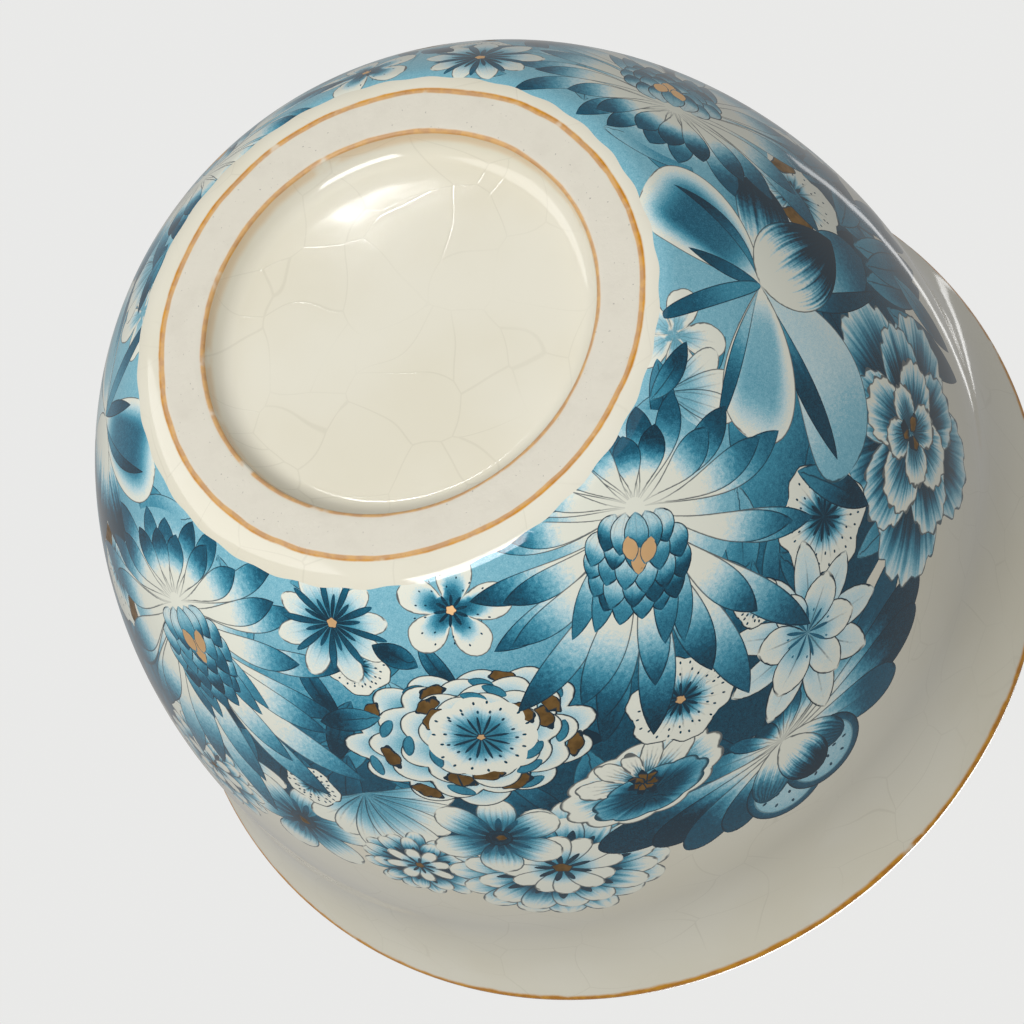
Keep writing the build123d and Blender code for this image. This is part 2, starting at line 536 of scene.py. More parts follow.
# %% Smaller flowers
def daisy(place, size, petals=13, squash=1.0):
    """Two tiers of round-ended petals, dark between them, about a bronze heart."""
    start = chance.random() * pi
    blunt = dict(powers=(0.9, 0.38))
    rosette(place, petals + 2, size, 0.19 * size, (0.95, -0.1, 0.76, 0), start,
            veins=(3, 0.5), **blunt)
    rosette(place, petals, 0.86 * size, 0.17 * size, (1.0, -0.05, 0.68, 0), start + 0.2,
            veins=(3, 0.5), **blunt)
    rosette(place, petals, 0.6 * size, 0.05 * size, (1, 1, 0.5, 0), start + 0.1, line=0)
    rosette(place, petals - 3, 0.54 * size, 0.13 * size, (0.6, -0.05, 0.42, 0), start, **blunt)
    rosette(place, 9, 0.27 * size, 0.03 * size, (1, 1, 0.5, 0), start, line=0)
    patch(place, 0.14 * size, start, 1.4, 0.5)


def spiky_daisy(place, size):
    """Narrow dark strokes between pale pointed petals."""
    start = chance.random() * pi
    rosette(place, 9, size, 0.21 * size, (0.55, 0.0, 0.5, 0.1), start, powers=(1, 0.55),
            veins=(3, 0.3))
    rosette(place, 9, 0.86 * size, 0.065 * size, (0.95, 0.8, 0.6, 0), start + 0.35,
            powers=(1.2, 0.6))
    rosette(place, 9, 0.5 * size, 0.04 * size, (1, 0.9, 0.6, 0), start, line=0)
    patch(place, 0.17 * size, start, 1.1)


def star_flower(place, size, petals=6):
    """Broad petals with dark strokes up from a bronze heart."""
    start = chance.random() * pi
    rosette(place, petals, size, 0.3 * size, (0.7, -0.05, 0.58, 0), start, veins=(7, 0.45),
            powers=(0.9, 0.5))
    rosette(place, 2 * petals, 0.5 * size, 0.05 * size, (1, 0.8, 0.6, 0), start, line=0)
    disc(place, 0.2 * size, (1, 1, 0.5, 0))
    patch(place, 0.2 * size, start, 1.2, 0.6)


def lily(place, size, petals=9):
    """Pale pointed petals in two rows, with one line up the middle."""
    start = chance.random() * pi
    look = dict(powers=(1.0, 0.75), veins=(1, 0.7), line=1.3)
    rosette(place, petals, size, 0.2 * size, (0.42, 0.02, 0.42, 0.1), start, **look)
    rosette(place, petals - 3, 0.7 * size, 0.22 * size, (0.4, -0.02, 0.4, 0.1), start + 0.3,
            **look)
    rosette(place, 9, 0.3 * size, 0.02 * size, (0.8, 0.8, 0.5, 0), start, line=0)
    dots(place, 0.28 * size, 7, 0.15, 0.7)


def hibiscus(place, size, squash=0.62):
    """A wide bell seen from the side: a dark veined throat, and white petals below it."""
    disc(place, size, (0.75, -0.15, 0.7, 0), waves=(13, 0.09), squash=squash, veins=(31, 0.8))
    for aside in (-1.2, 1.2, -0.6, 0.6, 0.0):
        reach = size * (0.56 + 0.2 * abs(aside))
        lobe(place, -pi / 2 + aside, reach, 0.42, waves=(20, 0.06), veins=(7, 0.8),
             tone=(0.6, -0.1, 0.5, 0))
    throat = from_centre(place, pi / 2, 0.2 * size)
    disc(throat, 0.72 * size, (0.9, 0.45, 0.75, 0), waves=(9, 0.1), squash=0.55 * squash + 0.15,
         veins=(17, 1.0))
    for step in range(7):
        patch(from_centre(place, 0.9 * step, 0.1 * size), 0.1 * size, 0.9 * step, 2.2, 0.5)


def dotted_flower(place, size, petals=5, gold=1.0, squash=1.0):
    """Round scalloped petals sown with dots, dark in the middle, with a small gold heart."""
    start = chance.random() * pi
    disc(place, size, (0.3, -0.05, 0.66, 0), waves=(petals, 0.2), fine=(3 * petals, 0.015),
         squash=squash, line=1.2)
    disc(place, 0.85 * size, (0.8, -0.05, 0.46, 0), squash=squash, line=0.0, veins=(21, 0.7))
    dots(place, 0.74 * size, 4 * petals, 0.16, squash=squash)
    dots(place, 0.58 * size, 3 * petals, 0.16, squash=squash)
    rosette(place, 2 * petals, 0.36 * size, 0.03 * size, (1, 1, 0.5, 0), start, line=0)
    if gold:
        patch(place, 0.17 * size, start, 1.2, gold)


def plum(place, size, petals=5):
    """Separate round petals with a blue root and dots, about a gold heart."""
    start = chance.random() * pi
    whorl(place, petals, size, 0.66, (0.8, -0.05, 0.55, 0), start, waves=(5, 0.05))
    dots(place, 0.62 * size, 3 * petals, 0.16)
    dots(place, 0.45 * size, 2 * petals, 0.16)
    rosette(place, 2 * petals, 0.3 * size, 0.03 * size, (1, 1, 0.5, 0), start, line=0)
    patch(place, 0.17 * size, start, 1.1)


def fan(place, size, heading, count=7, width=1.3, dark=0.85):
    """Petals of a flower seen from the side."""
    asides = np.linspace(-1, 1, count)
    for aside in asides[np.argsort(-np.abs(asides))]:
        blade(place, heading + aside * width, vary(size), 0.19 * size, 0.1 * aside, (1.0, 0.5),
              tone=(dark, -0.05, 0.55, 0), veins=(3, 0.5))


def leaf(place, heading, length, bend=0.15, dark=0.95, half=0.16):
    """A dark pointed leaf with a middle vein."""
    tone = (vary(dark * 0.72, 0.15), dark, 0.5, 0.05)
    blade(place, heading, length, half * length, bend, (0.85, 0.85), tone=tone, veins=(1, 0.9))


# %% Magnolia and lotus
def magnolia(place, size):
    """Wide soft petals about a heart, a striped bud, a round petal and curling stems."""
    def petal(degrees, length, half, bend, tone, powers=(0.75, 0.5), **look):
        blade(place, radians(degrees), length * size, half * size, bend, powers, tone=tone, **look)

    petal(112, 1.28, 0.27, 0.05, (0.2, 0.85, 0.66, 0), (1.1, 0.6))
    petal(60, 1.34, 0.36, -0.24, (0.12, 0.42, 0.75, 0.06), (0.95, 0.42))
    petal(24, 1.2, 0.1, 0.34, (0.45, 0.95, 0.4, 0), (1.5, 0.9), veins=(1, 0.3))
    petal(82, 1.2, 0.08, 0.42, (0.35, 0.95, 0.4, 0), (1.3, 0.9))
    petal(1, 1.14, 0.33, 0.08, (-0.1, 0.0, 0.6, 0.48), (0.95, 0.42))
    petal(-28, 1.15, 0.07, 0.36, (0.3, 0.85, 0.5, 0), (1.5, 0.9))
    petal(156, 1.04, 0.26, 0.15, (-0.1, 1.0, 0.5, 0), (0.8, 0.62), veins=(7, -0.6))
    petal(223, 1.22, 0.44, 0.0, (-0.05, 0.0, 0.5, 0.82), (0.85, 0.36))
    petal(192, 0.95, 0.06, 0.4, (0.6, 0.95, 0.5, 0), (1.4, 0.9))
    petal(260, 0.66, 0.065, -0.15, (0.75, 0.9, 0.5, 0), (0.8, 0.9))
    petal(290, 1.0, 0.08, 0.15, (0.6, 0.85, 0.5, 0), (0.4, 0.3))
    petal(125, 1.02, 0.33, -0.02, (-0.15, 1.1, 0.5, 0.0), (0.6, 0.85), veins=(13, -1.0))


def lotus(place, size):
    """A wide spray of dark petals with a two-lobed bud in it."""
    for degrees, length, half, dark in (
        (190, 0.75, 0.07, 0.8), (205, 0.5, 0.07, 0.7), (-18, 0.7, 0.1, 0.8), (-28, 0.5, 0.08, 0.7),
        (180, 1.0, 0.1, 0.85), (0, 0.98, 0.14, 0.95), (170, 1.08, 0.13, 1.0), (11, 0.8, 0.12, 1.0),
        (160, 0.92, 0.12, 1.0), (20, 0.72, 0.11, 0.9), (148, 0.75, 0.12, 0.85), (34, 0.6, 0.1, 0.9),
        (250, 0.24, 0.07, 0.9), (282, 0.2, 0.06, 0.9), (225, 0.3, 0.05, 0.8), (312, 0.3, 0.05, 0.8),
    ):
        blade(place, radians(degrees), vary(length * size, 0.05), half * size, vary(0.05, 1),
              (1.3, 0.55), tone=(-0.05, dark, 0.45, 0.0), veins=(1, 0.6))
    heart = from_centre(place, pi / 2, 0.27 * size)
    for aside in (1, -1):
        cup = from_centre(heart, pi / 2 - aside * 1.2, 0.12 * size)
        disc(cup, 0.22 * size, (0.5, 0.9, 0.75, 0))
        disc(cup, 0.18 * size, (0.25, 0.35, 0.8, 0), line=0.6)
        dots(cup, 0.13 * size, 9, 0.22)
        dots(cup, 0.06 * size, 5, 0.22)
    for degrees, length, half, dark in (
        (52, 0.4, 0.11, 0.75), (128, 0.4, 0.11, 0.8), (97, 0.4, 0.13, 1.0),
    ):
        blade(place, radians(degrees), length * size, half * size, 0, (0.7, 0.55),
              tone=(-0.1, dark, 0.5, 0), veins=(9, -0.8))


# %% [markdown]
# ## The bouquet
#
# The sheet is the wall of the bowl laid flat without changing any angle, so that a flower
# keeps its shape: across, 40 mm is one radian round the bowl; up, each step is as long as
# the wall there is, times 40 over its radius. The decal is one bouquet, half way round,
# laid twice. It is trimmed along a slightly uneven line just above the foot, and at the
# top it ends in the outlines of its own flowers.

# %% Ground and foliage
radian = 40.0
around = 2 * pi * radian


class Ground(Petal):
    """The blue ground between the flowers: a strip right round the bowl."""

    def __init__(self, low, high, **look):
        super().__init__((0, low), 0, **look)
        self.low, self.high = low, high

    def outline(self):
        across = np.linspace(-0.6 * around, 0.6 * around, 300)
        top = self.high + 1.2 * np.sin(across * 4 * pi / around) + np.sin(across * 14 * pi / around)
        low = np.column_stack([across, np.full(len(across), self.low)])
        return np.vstack([low, np.column_stack([across, top])[::-1]])

    def coordinates(self, points):
        share = np.clip((points[:, 1] - self.low) / (self.high - self.low), 0, 1)
        none = np.zeros(len(points))
        return share, none, none + 9, none, none + 9


def foliage(count, low, high, length, tone):
    """Leaves scattered over a band of the sheet, for whatever the flowers leave bare."""
    for step in range(count):
        across = around / 2 * (step + chance.random()) / count - around / 4
        place = (across, low + (high - low) * chance.random())
        heading = pi / 2 + 1.3 * (2 * chance.random() - 1)
        leaf(place, heading, vary(length, 0.3), 0.3 * (chance.random() - 0.5), vary(tone, 0.2), 0.2)


# %% The bouquet, from back to front
# The ground runs from light blue at the foot to near navy at its top: partly the print's own dark
# ground, partly painted shade that darkens the top of the band.
drawing.append(Ground(low=0.0, high=42.0, tone=(0.38, 0.92, 0.55, 0), line=0.0))
foliage(30, 2, 34, 9.0, 0.62)
foliage(40, 24, 40, 9.0, 0.95)

for place, degrees, length in (
    ((-50, 35), 92, 15), ((-46, 35), 98, 14), ((-54, 37), 105, 14),
    ((-48, 36), 100, 13), ((-52, 34), 130, 14), ((-44, 38), 75, 15), ((-56, 38), 80, 13),
    ((-49, 42), 60, 11), ((-60, 34), 100, 12), ((-24, 34), 120, 9), ((-20, 28), 60, 9),
    ((4, 24), 40, 10), ((2, 27), 75, 9), ((36, 28), 70, 12), ((36, 27), 35, 13),
    ((34, 20), 60, 10), ((24, 12), 100, 8), ((26, 14), 20, 9), ((42, 30), 100, 12),
    ((60, 33), 75, 13), ((64, 30), 110, 14), ((54, 36), 60, 12), ((-64, 26), 60, 11),
    ((66, 24), 30, 12), ((44, 26), 20, 10), ((40, 15), 110, 9), ((-28, 27), 10, 10),
):
    leaf(place, radians(degrees), length)

fan((53, 34), 9, radians(80), dark=0.75)
star_flower((44.5, 42.1), 7)
daisy((56, 43), 6.5, 11)
fan((35.6, 33.5), 9.5, radians(112), 8, 1.1, 0.5)
daisy((33.4, 45.2), 5.8, 11)
daisy((20.6, 47.0), 9.8, 15)
lotus((-2.3, 45.3), 19)
ruffled_peony((-32.6, 41.3), 13.4)
star_flower((24.3, 40.4), 6.3)
hibiscus((9.6, 38.8), 8.2)
dotted_flower((-19.8, 31.6), 6.2, 6, 0)
leaf((-22, 26), radians(104), 11, -0.1)
lily((-10.5, 37.6), 8.8)
dotted_flower((-9.2, 29.9), 2.8)
dotted_flower((2.4, 32), 5.8, 6, 1.0, 0.9)
dotted_flower((-54, 27), 7.5, 6)
patch((-50.5, 26), 2.4, 1.2, 2, 0.6)
patch((-58.5, 29), 2.2, 1.8, 2, 0.6)
dotted_flower((41.5, 34.5), 3.2, 5, 0)
dotted_peony((21.2, 25.8), 13.2, 0.95)
patch((-60.9, 9.6), 3.6, 0.4, 1.3)
leaf((-62, 14), radians(15), 16, 0.1, 0.45, 0.25)
leaf((-66, 4), radians(50), 13, -0.2, 0.55, 0.25)
whorl((-30, 5), 5, 7.5, 0.66, (0.4, -0.05, 0.5, 0), 0.5, waves=(9, 0.05), veins=(5, 0.3))
fan((-22, 6), 10, radians(100), 5, 0.7, 0.4)
leaf((-26, 3.5), radians(25), 12, 0.1, 0.95)
leaf((-20, 4.5), radians(160), 10, 0.1, 0.9)
magnolia((-40.1, 17.1), 15.8)
dotted_flower((32.4, 15), 4.2, 5, 0)
chrysanthemum((58.8, 17.8), 26.5, radians(134))
spiky_daisy((34.9, 9.4), 8)
plum((18.8, 8.9), 7.6)
leaf((25, 15.5), radians(-40), 6, 0.1, 0.98, 0.28)
leaf((31, 22), radians(8), 7.5, 0.1, 0.98, 0.22)
chrysanthemum((-7.6, 10.6), 28, radians(48))
print("petals in the bouquet:", len(drawing))

# %% [markdown]
# ## From drawing to triangles
#
# A constrained Delaunay triangulation takes the outlines and a loose grid of points, and
# returns triangles that no outline crosses. So every triangle lies wholly in one petal,
# and print edges stay sharp at any distance, as a decal's do. Outlines hidden by a petal
# in front are left out first, to keep the triangles few.

# %% Cut the sheet along the outlines
def holds(polygon, points):
    """Which of some points lie inside a closed polygon."""
    start, end = polygon, np.roll(polygon, -1, axis=0)
    x, y = points[:, :1], points[:, 1:]
    spans = (start[:, 1] > y) != (end[:, 1] > y)
    rise = end[:, 1] - start[:, 1]
    rise = np.where(rise == 0, 1, rise)
    crossing = start[:, 0] + (end[:, 0] - start[:, 0]) * (y - start[:, 1]) / rise
    return (spans & (x < crossing)).sum(1) % 2 == 1


class Laid:
    """A petal laid on the sheet at a shift, trimmed to lie above the cut line."""

    def __init__(self, petal, shift=0.0, cut=None):
        self.petal, self.shift = petal, np.array([shift, 0.0])
        self.outline = petal.outline() + self.shift
        self.trimmed = np.zeros(len(self.outline), bool)
        if cut is not None:
            line = cut(self.outline[:, 0])
            self.trimmed = self.outline[:, 1] < line
            self.outline[:, 1] = np.maximum(self.outline[:, 1], line)
        self.low, self.high = self.outline.min(0), self.outline.max(0)

    def kept_edges(self, front):
        """The stretches of the outline that no petal in front hides."""
        after = np.roll(self.outline, -1, axis=0)
        spots = np.concatenate([self.outline, (self.outline + after) / 2, after])
        hidden = np.zeros(len(spots), bool)
        for other in front:
            hidden |= holds(other.outline, spots)
        both_cut = self.trimmed & np.roll(self.trimmed, -1)
        keep = ~hidden.reshape(3, -1).all(0) & ~both_cut
        return np.stack([self.outline[keep], after[keep]], axis=1)


def triangulate(laid, frame_edges, grid, weld=1e-6):
    """The points and triangles of the sheet, and which petal owns each triangle."""
    edges = [frame_edges]
    lows = np.array([shape.low for shape in laid])
    highs = np.array([shape.high for shape in laid])
    for index, shape in enumerate(laid):
        near = (lows < shape.high).all(1) & (highs > shape.low).all(1)
        near = np.flatnonzero(near[index + 1:]) + index + 1
        edges.append(shape.kept_edges([laid[step] for step in near]))
    edges = np.concatenate(edges).reshape(-1, 2)
    points = [Vector(point) for point in np.vstack([edges, grid])]
    pairs = [(2 * step, 2 * step + 1) for step in range(len(edges) // 2)]
    points, _, faces, *_ = delaunay_2d_cdt(points, pairs, [], 0, weld, False)
    points, faces = np.array(points), np.array(faces)
    centres = points[faces].mean(1)
    owner = np.full(len(faces), -1)
    for index in range(len(laid) - 1, -1, -1):
        shape = laid[index]
        box_holds = (centres > shape.low).all(1) & (centres < shape.high).all(1)
        free = np.flatnonzero(box_holds & (owner < 0))
        owner[free[holds(shape.outline, centres[free])]] = index
    return points, faces, owner


# %% What each corner of a triangle knows
looks = ("petal_place", "petal_tone", "petal_kind", "petal_vein")


def corner_looks(laid, points, faces, owner):
    """Four colours for each corner, from the coordinates of the petal that owns it."""
    values = {name: np.zeros((len(faces), 3, 4), np.float32) for name in looks}
    for index in np.unique(owner[owner >= 0]):
        mine = np.flatnonzero(owner == index)
        petal = laid[index].petal
        corners = points[faces[mine]].reshape(-1, 2) - laid[index].shift
        share, across, half, side, scale = petal.coordinates(corners)
        place = np.column_stack([share, across, half, side])
        values["petal_place"][mine] = place.reshape(-1, 3, 4)
        values["petal_tone"][mine] = petal.tone
        values["petal_kind"][mine] = (1, petal.gold, petal.line, petal.veins[1])
        values["petal_vein"][mine, :, 0] = petal.veins[0]
        values["petal_vein"][mine, :, 1] = scale.reshape(-1, 3)
        values["petal_vein"][mine, :, 2] = petal.seed
    return {name: value.reshape(-1, 4) for name, value in values.items()}


# %% [markdown]
# ## The bowl's sheet
#
# The sheet of a whole piece is its skin unrolled: across is the angle round the axis, up
# is the length along the outline. Plain zones are rows of quads, and the zone with the
# decal is the cut triangles. All zones have the same columns at their borders, so they
# join when the sheet is turned. Its UV map for baking is worked out here too, because on
# a flat sheet it is only a matter of where each zone is put.

# %% Zones of a sheet
columns = 240
full_turn = 2 * pi


class Sheet:
    """Vertices as (angle, along), faces, and a UV and four looks for each corner."""

    def __init__(self):
        self.places, self.faces, self.uvs = [], [], []
        self.looks = {name: [] for name in looks}
        self.count = 0

    def add(self, places, faces, uvs, values=None):
        """A zone of vertices and faces, with blank looks where none are given."""
        self.places.append(places)
        self.faces.extend((faces + self.count).tolist())
        self.count += len(places)
        self.uvs.append(uvs)
        for name in looks:
            blank = np.zeros((faces.size, 4), np.float32)
            self.looks[name].append(blank if values is None else values[name])

    def rows(self, alongs, to_uv):
        """A plain zone of quads between lengths along the outline."""
        angle = np.linspace(0, full_turn, columns + 1)
        places = np.stack(np.meshgrid(angle, alongs), -1).reshape(-1, 2)
        first = np.arange((len(alongs) - 1) * (columns + 1)).reshape(-1, columns + 1)
        first = first[:, :-1].ravel()
        faces = np.column_stack([first, first + 1, first + columns + 2, first + columns + 1])
        middle = np.repeat(places[faces].mean(1), 4, axis=0)
        self.add(places, faces, to_uv(places[faces].reshape(-1, 2), middle))

    def mesh(self, name):
        """The flat sheet as a mesh, with its UV map and its looks."""
        mesh = bpy.data.meshes.new(name)
        places = np.concatenate(self.places)
        flat = np.column_stack([places, np.zeros(len(places))])
        mesh.from_pydata(flat.tolist(), [], self.faces)
        uv = mesh.uv_layers.new(name="OFBake")
        uv.data.foreach_set("uv", np.concatenate(self.uvs).astype(np.float32).ravel())
        for look, values in self.looks.items():
            layer = mesh.attributes.new(look, "FLOAT_COLOR", "CORNER")
            layer.data.foreach_set("color", np.concatenate(values).ravel())
        return mesh


def steps_between(start, end, size):
    """Lengths from one to another in steps of about a size."""
    return np.linspace(start, end, max(2, round((end - start) / size) + 1))


def rows_through(start, *stretches):
    """Lengths from a start through stretches, each given as (its end, size of a step)."""
    rows = [np.array([start])]
    for end, size in stretches:
        rows.append(steps_between(rows[-1][-1], end, size)[1:])
    return np.concatenate(rows)


def disc_uv(centre, start, end, reach=0.12):
    """A zone that ends in a pole, laid out as a disc about it."""
    def to_uv(places, middle):
        far = np.abs(places[:, 1] - end) / abs(end - start) * reach
        angle = places[:, 0]
        return np.array(centre) + far[:, None] * np.column_stack([np.sin(angle), np.cos(angle)])
    return to_uv


def strip_uv(corner, size, parts, start, end, gap=0.02):
    """A zone laid out as strips, each a part of the way round, in rows of two."""
    def to_uv(places, middle):
        turn_share = places[:, 0] / full_turn * parts
        part = np.floor(middle[:, 0] / full_turn * parts)
        across = (turn_share - part) * size[0] + (part % 2) * (size[0] + gap)
        up = (places[:, 1] - start) / (end - start) * size[1] + part // 2 * (size[1] + gap)
        return np.array(corner) + np.column_stack([across, up])
    return to_uv


# %% [markdown]
# The decal zone of the bowl runs from just above the foot to above the tallest flower.
# Flattening keeps angles, so the height on the sheet is the wall's length divided by its
# radius, added up. The table below turns one into the other.

# %% The bowl's decal zone
cut_height = 3.4
cut_tilt = 1.3
grid_step = 1.2
decal_parts = 4
table_reach = 15
table_rows = 1200
zone_low, zone_high = 1.2, 60.0

table_end = bowl_outline.ends["belly"] + table_reach
wall_along = np.linspace(bowl_outline.ends["ring"], table_end, table_rows)
steps = np.diff(wall_along) / bowl_outline.radius((wall_along[1:] + wall_along[:-1]) / 2)
wall_up = np.concatenate([[0], np.cumsum(steps)]) * radian


def bowl_cut(across):
    """The height at which the decal is trimmed above the foot."""
    return cut_height + cut_tilt * np.sin(across / radian) + 0.15 * np.sin(across * 0.9)


def rectangle_frame(wide, low, high, count_across, cuts):
    """The edges of a rectangle and of its columns, in short steps."""
    across = np.linspace(0, wide, count_across + 1)
    up = steps_between(low, high, wide / count_across)
    edges = []
    for height in (low, high):
        line = np.column_stack([across, np.full(len(across), height)])
        edges.append(np.stack([line[:-1], line[1:]], axis=1))
    for place in np.linspace(0, wide, cuts + 1):
        line = np.column_stack([np.full(len(up), place), up])
        edges.append(np.stack([line[:-1], line[1:]], axis=1))
    return np.concatenate(edges)


def loose_grid(low, high, step):
    """Points in staggered rows."""
    rows = np.arange(low[1] + step / 2, high[1], step * 0.87)
    points = []
    for index, row in enumerate(rows):
        across = np.arange(low[0] + step * (0.4 + 0.5 * (index % 2)), high[0] - step / 3, step)
        points.append(np.column_stack([across, np.full(len(across), row)]))
    return np.concatenate(points)


spare = 5
thinnest = 0.05
cut_line = np.linspace(-2 * spare, around + 2 * spare, 2 * columns)
cut_line = np.column_stack([cut_line, bowl_cut(cut_line)])
shifts = around / 2 * np.arange(-1, 4)
laid = [Laid(petal, shift, bowl_cut) for petal in drawing for shift in shifts]
laid = [shape for shape in laid if shape.high[0] > -spare and shape.low[0] < around + spare]
laid = [shape for shape in laid if (shape.high - shape.low > thinnest).all()]
zone_edges = rectangle_frame(around, zone_low, zone_high, columns, decal_parts)
zone_edges = np.concatenate([zone_edges, np.stack([cut_line[:-1], cut_line[1:]], axis=1)])
grid = loose_grid((0, zone_low), (around, zone_high), grid_step)
points, faces, owner = triangulate(laid, zone_edges, grid)
middle = points[faces].mean(1)
inside = (middle > (0, zone_low)).all(1) & (middle < (around, zone_high)).all(1)
faces, owner = faces[inside], owner[inside]
print("decal of the bowl:", len(laid), "petals,", len(faces), "triangles")

# %% The bowl's sheet
ends = bowl_outline.ends
sheet_low = np.interp(zone_low, wall_up, wall_along)
sheet_high = np.interp(zone_high, wall_up, wall_along)
bowl_sheet = Sheet()
base_rows = rows_through(0, (ends["base"], 1.8), (ends["recess"], 0.3), (ends["ring_edge"], 0.1),
                         (ends["ring"], 0.8), (sheet_low, 0.3))
bowl_sheet.rows(base_rows, disc_uv((0.13, 0.87), sheet_low, 0))

angles, alongs = points[:, 0] / radian, np.interp(points[:, 1], wall_up, wall_along)
decal_uv = strip_uv((0.01, 0.01), (0.48, 0.35), decal_parts, zone_low, zone_high)
corner_points = points[faces].reshape(-1, 2) * (1 / radian, 1)
corner_middle = np.repeat(points[faces].mean(1), 3, axis=0) * (1 / radian, 1)
bowl_sheet.add(np.column_stack([angles, alongs]), faces, decal_uv(corner_points, corner_middle),
               corner_looks(laid, points, faces, owner))

flare_rows = rows_through(sheet_high, (ends["flare"], 1.5), (ends["lip"], 0.3))
bowl_sheet.rows(flare_rows, strip_uv((0.52, 0.76), (0.46, 0.1), 2, sheet_high, ends["lip"]))
inner_rows = rows_through(ends["lip"], (ends["inner_flare"], 1.5), (ends["floor"], 2.0))
bowl_sheet.rows(inner_rows, disc_uv((0.385, 0.87), ends["lip"], ends["floor"]))
print("sheet of the bowl:", bowl_sheet.count, "points")

# %% [markdown]
# ## The lid's sheet
#
# Nothing of the lid shows from below, but it belongs to the set, so its dome has the same
# flowers in a wreath round the knob. Its decal is cut on a flat disc, not a strip: a
# point's distance from the middle is its distance over the dome from the pole.

# %% A wreath for the lid
drawing.clear()
wreath_low, wreath_high = 14.6, 40.0
wreath_cut = 15.2


def ring_place(degrees, reach):
    """A point of the disc, by its angle and its distance from the pole."""
    return reach * heading_vector(radians(degrees))


def wreath_leaves(count, reach, length, tone):
    """Leaves scattered round the knob."""
    for step in range(count):
        degrees = 360 * (step + 0.6 * chance.random()) / count
        heading = radians(degrees) + 1.5 * (2 * chance.random() - 1)
        leaf(ring_place(degrees, vary(reach, 0.15)), heading, vary(length, 0.3),
             0.3 * (chance.random() - 0.5), vary(tone, 0.2), 0.2)


disc((0, 0), 31.5, (0.55, 0.6, 0.5, 0), waves=(9, 0.02), line=0.0)
wreath_leaves(60, 19, 9, 0.75)
wreath_leaves(60, 27, 8, 0.95)
for degrees in (0, 180):
    daisy(ring_place(degrees + 118, 30.5), 6.6, 12)
    star_flower(ring_place(degrees + 95, 28), 6.0)
    lily(ring_place(degrees + 72, 31), 7.5)
    ruffled_peony(ring_place(degrees + 43, 27.5), 9.5)
    hibiscus(ring_place(degrees + 140, 30), 6.2)
    dotted_flower(ring_place(degrees + 158, 28.5), 6)
    daisy(ring_place(degrees + 20, 30.5), 6, 11)
    dotted_peony(ring_place(degrees + 100, 20.5), 7.5)
    dotted_flower(ring_place(degrees + 66, 20.5), 4.5)
    spiky_daisy(ring_place(degrees + 132, 20.5), 6)
    chrysanthemum(ring_place(degrees + 2, 18), 19, radians(degrees + 25))
    dotted_flower(ring_place(degrees + 160, 19.5), 4.2)
    star_flower(ring_place(degrees + 28, 19), 5)
print("petals in the wreath:", len(drawing))

# %% The lid's sheet
ends = lid_outline.ends


def over_dome(radius):
    """The distance over the dome from its pole to a circle of the given radius."""
    return dome_radius * math.asin(radius / dome_radius)


def ring_edges(reach):
    """The edges of a circle round the pole, one for each column."""
    angle = np.linspace(0, full_turn, columns + 1)
    line = reach * np.column_stack([np.sin(angle), np.cos(angle)])
    return np.stack([line[:-1], line[1:]], axis=1)


def trim_round(shape, reach):
    """Keeps a petal's outline outside the circle round the knob."""
    far = np.maximum(np.hypot(*shape.outline.T), 1e-6)
    shape.trimmed = far < reach
    shape.outline *= (np.maximum(far, reach) / far)[:, None]
    shape.low, shape.high = shape.outline.min(0), shape.outline.max(0)


laid = [Laid(petal) for petal in drawing]
for shape in laid:
    trim_round(shape, wreath_cut)
edge_clearance = 0.5
zone_edges = np.concatenate([ring_edges(reach) for reach in (wreath_low, wreath_cut, wreath_high)])
grid = loose_grid((-wreath_high, -wreath_high), (wreath_high, wreath_high), grid_step)
far = np.hypot(*grid.T)
grid = grid[(far > wreath_low + edge_clearance) & (far < wreath_high - edge_clearance)]
points, faces, owner = triangulate(laid, zone_edges, grid)
far = np.hypot(*points[faces].mean(1).T)
owner[far < wreath_cut] = -1
inside = (far > wreath_low) & (far < wreath_high)
faces, owner = faces[inside][:, ::-1], owner[inside]
print("decal of the lid:", len(laid), "petals,", len(faces), "triangles")

pole_along = ends["dome"] + over_dome(knob_base_radius)
angles, alongs = np.arctan2(points[:, 0], points[:, 1]), pole_along - np.hypot(*points.T)
lid_sheet = Sheet()
uv_middle, uv_reach = 0.37, 0.36
corner_points = points[faces].reshape(-1, 2)
lid_sheet.add(np.column_stack([angles, alongs]), faces,
              uv_middle + uv_reach / wreath_high * corner_points,
              corner_looks(laid, points, faces, owner))
rim_end, knob_start = pole_along - wreath_high, pole_along - wreath_low
rim_rows = rows_through(0, (ends["under"], 1.5), (ends["edge"], 0.3), (rim_end, 1.0))
lid_sheet.rows(rim_rows, disc_uv((0.87, 0.13), rim_end, 0))
knob_rows = rows_through(knob_start, (ends["dome"], 1.0), (ends["knob"], 0.6),
                         (ends["knob_top"], 0.3), (ends["hollow"], 0.5),
                         (ends["hollow_floor"], 2.0))
lid_sheet.rows(knob_rows, disc_uv((0.87, 0.4), knob_start, ends["hollow_floor"]))
print("sheet of the lid:", lid_sheet.count, "points")

# %% [markdown]
# ## Turning a sheet on the wheel
#
# A potter turns an outline about the wheel's axis. A Geometry Nodes tree does the same to
# a sheet: it samples the outline, given to it as a curve object, at each point's length
# along it, and swings that radius round by the point's angle. It could be a Screw
# modifier, but that can't carry a decal. Merging by distance closes the seam and poles.

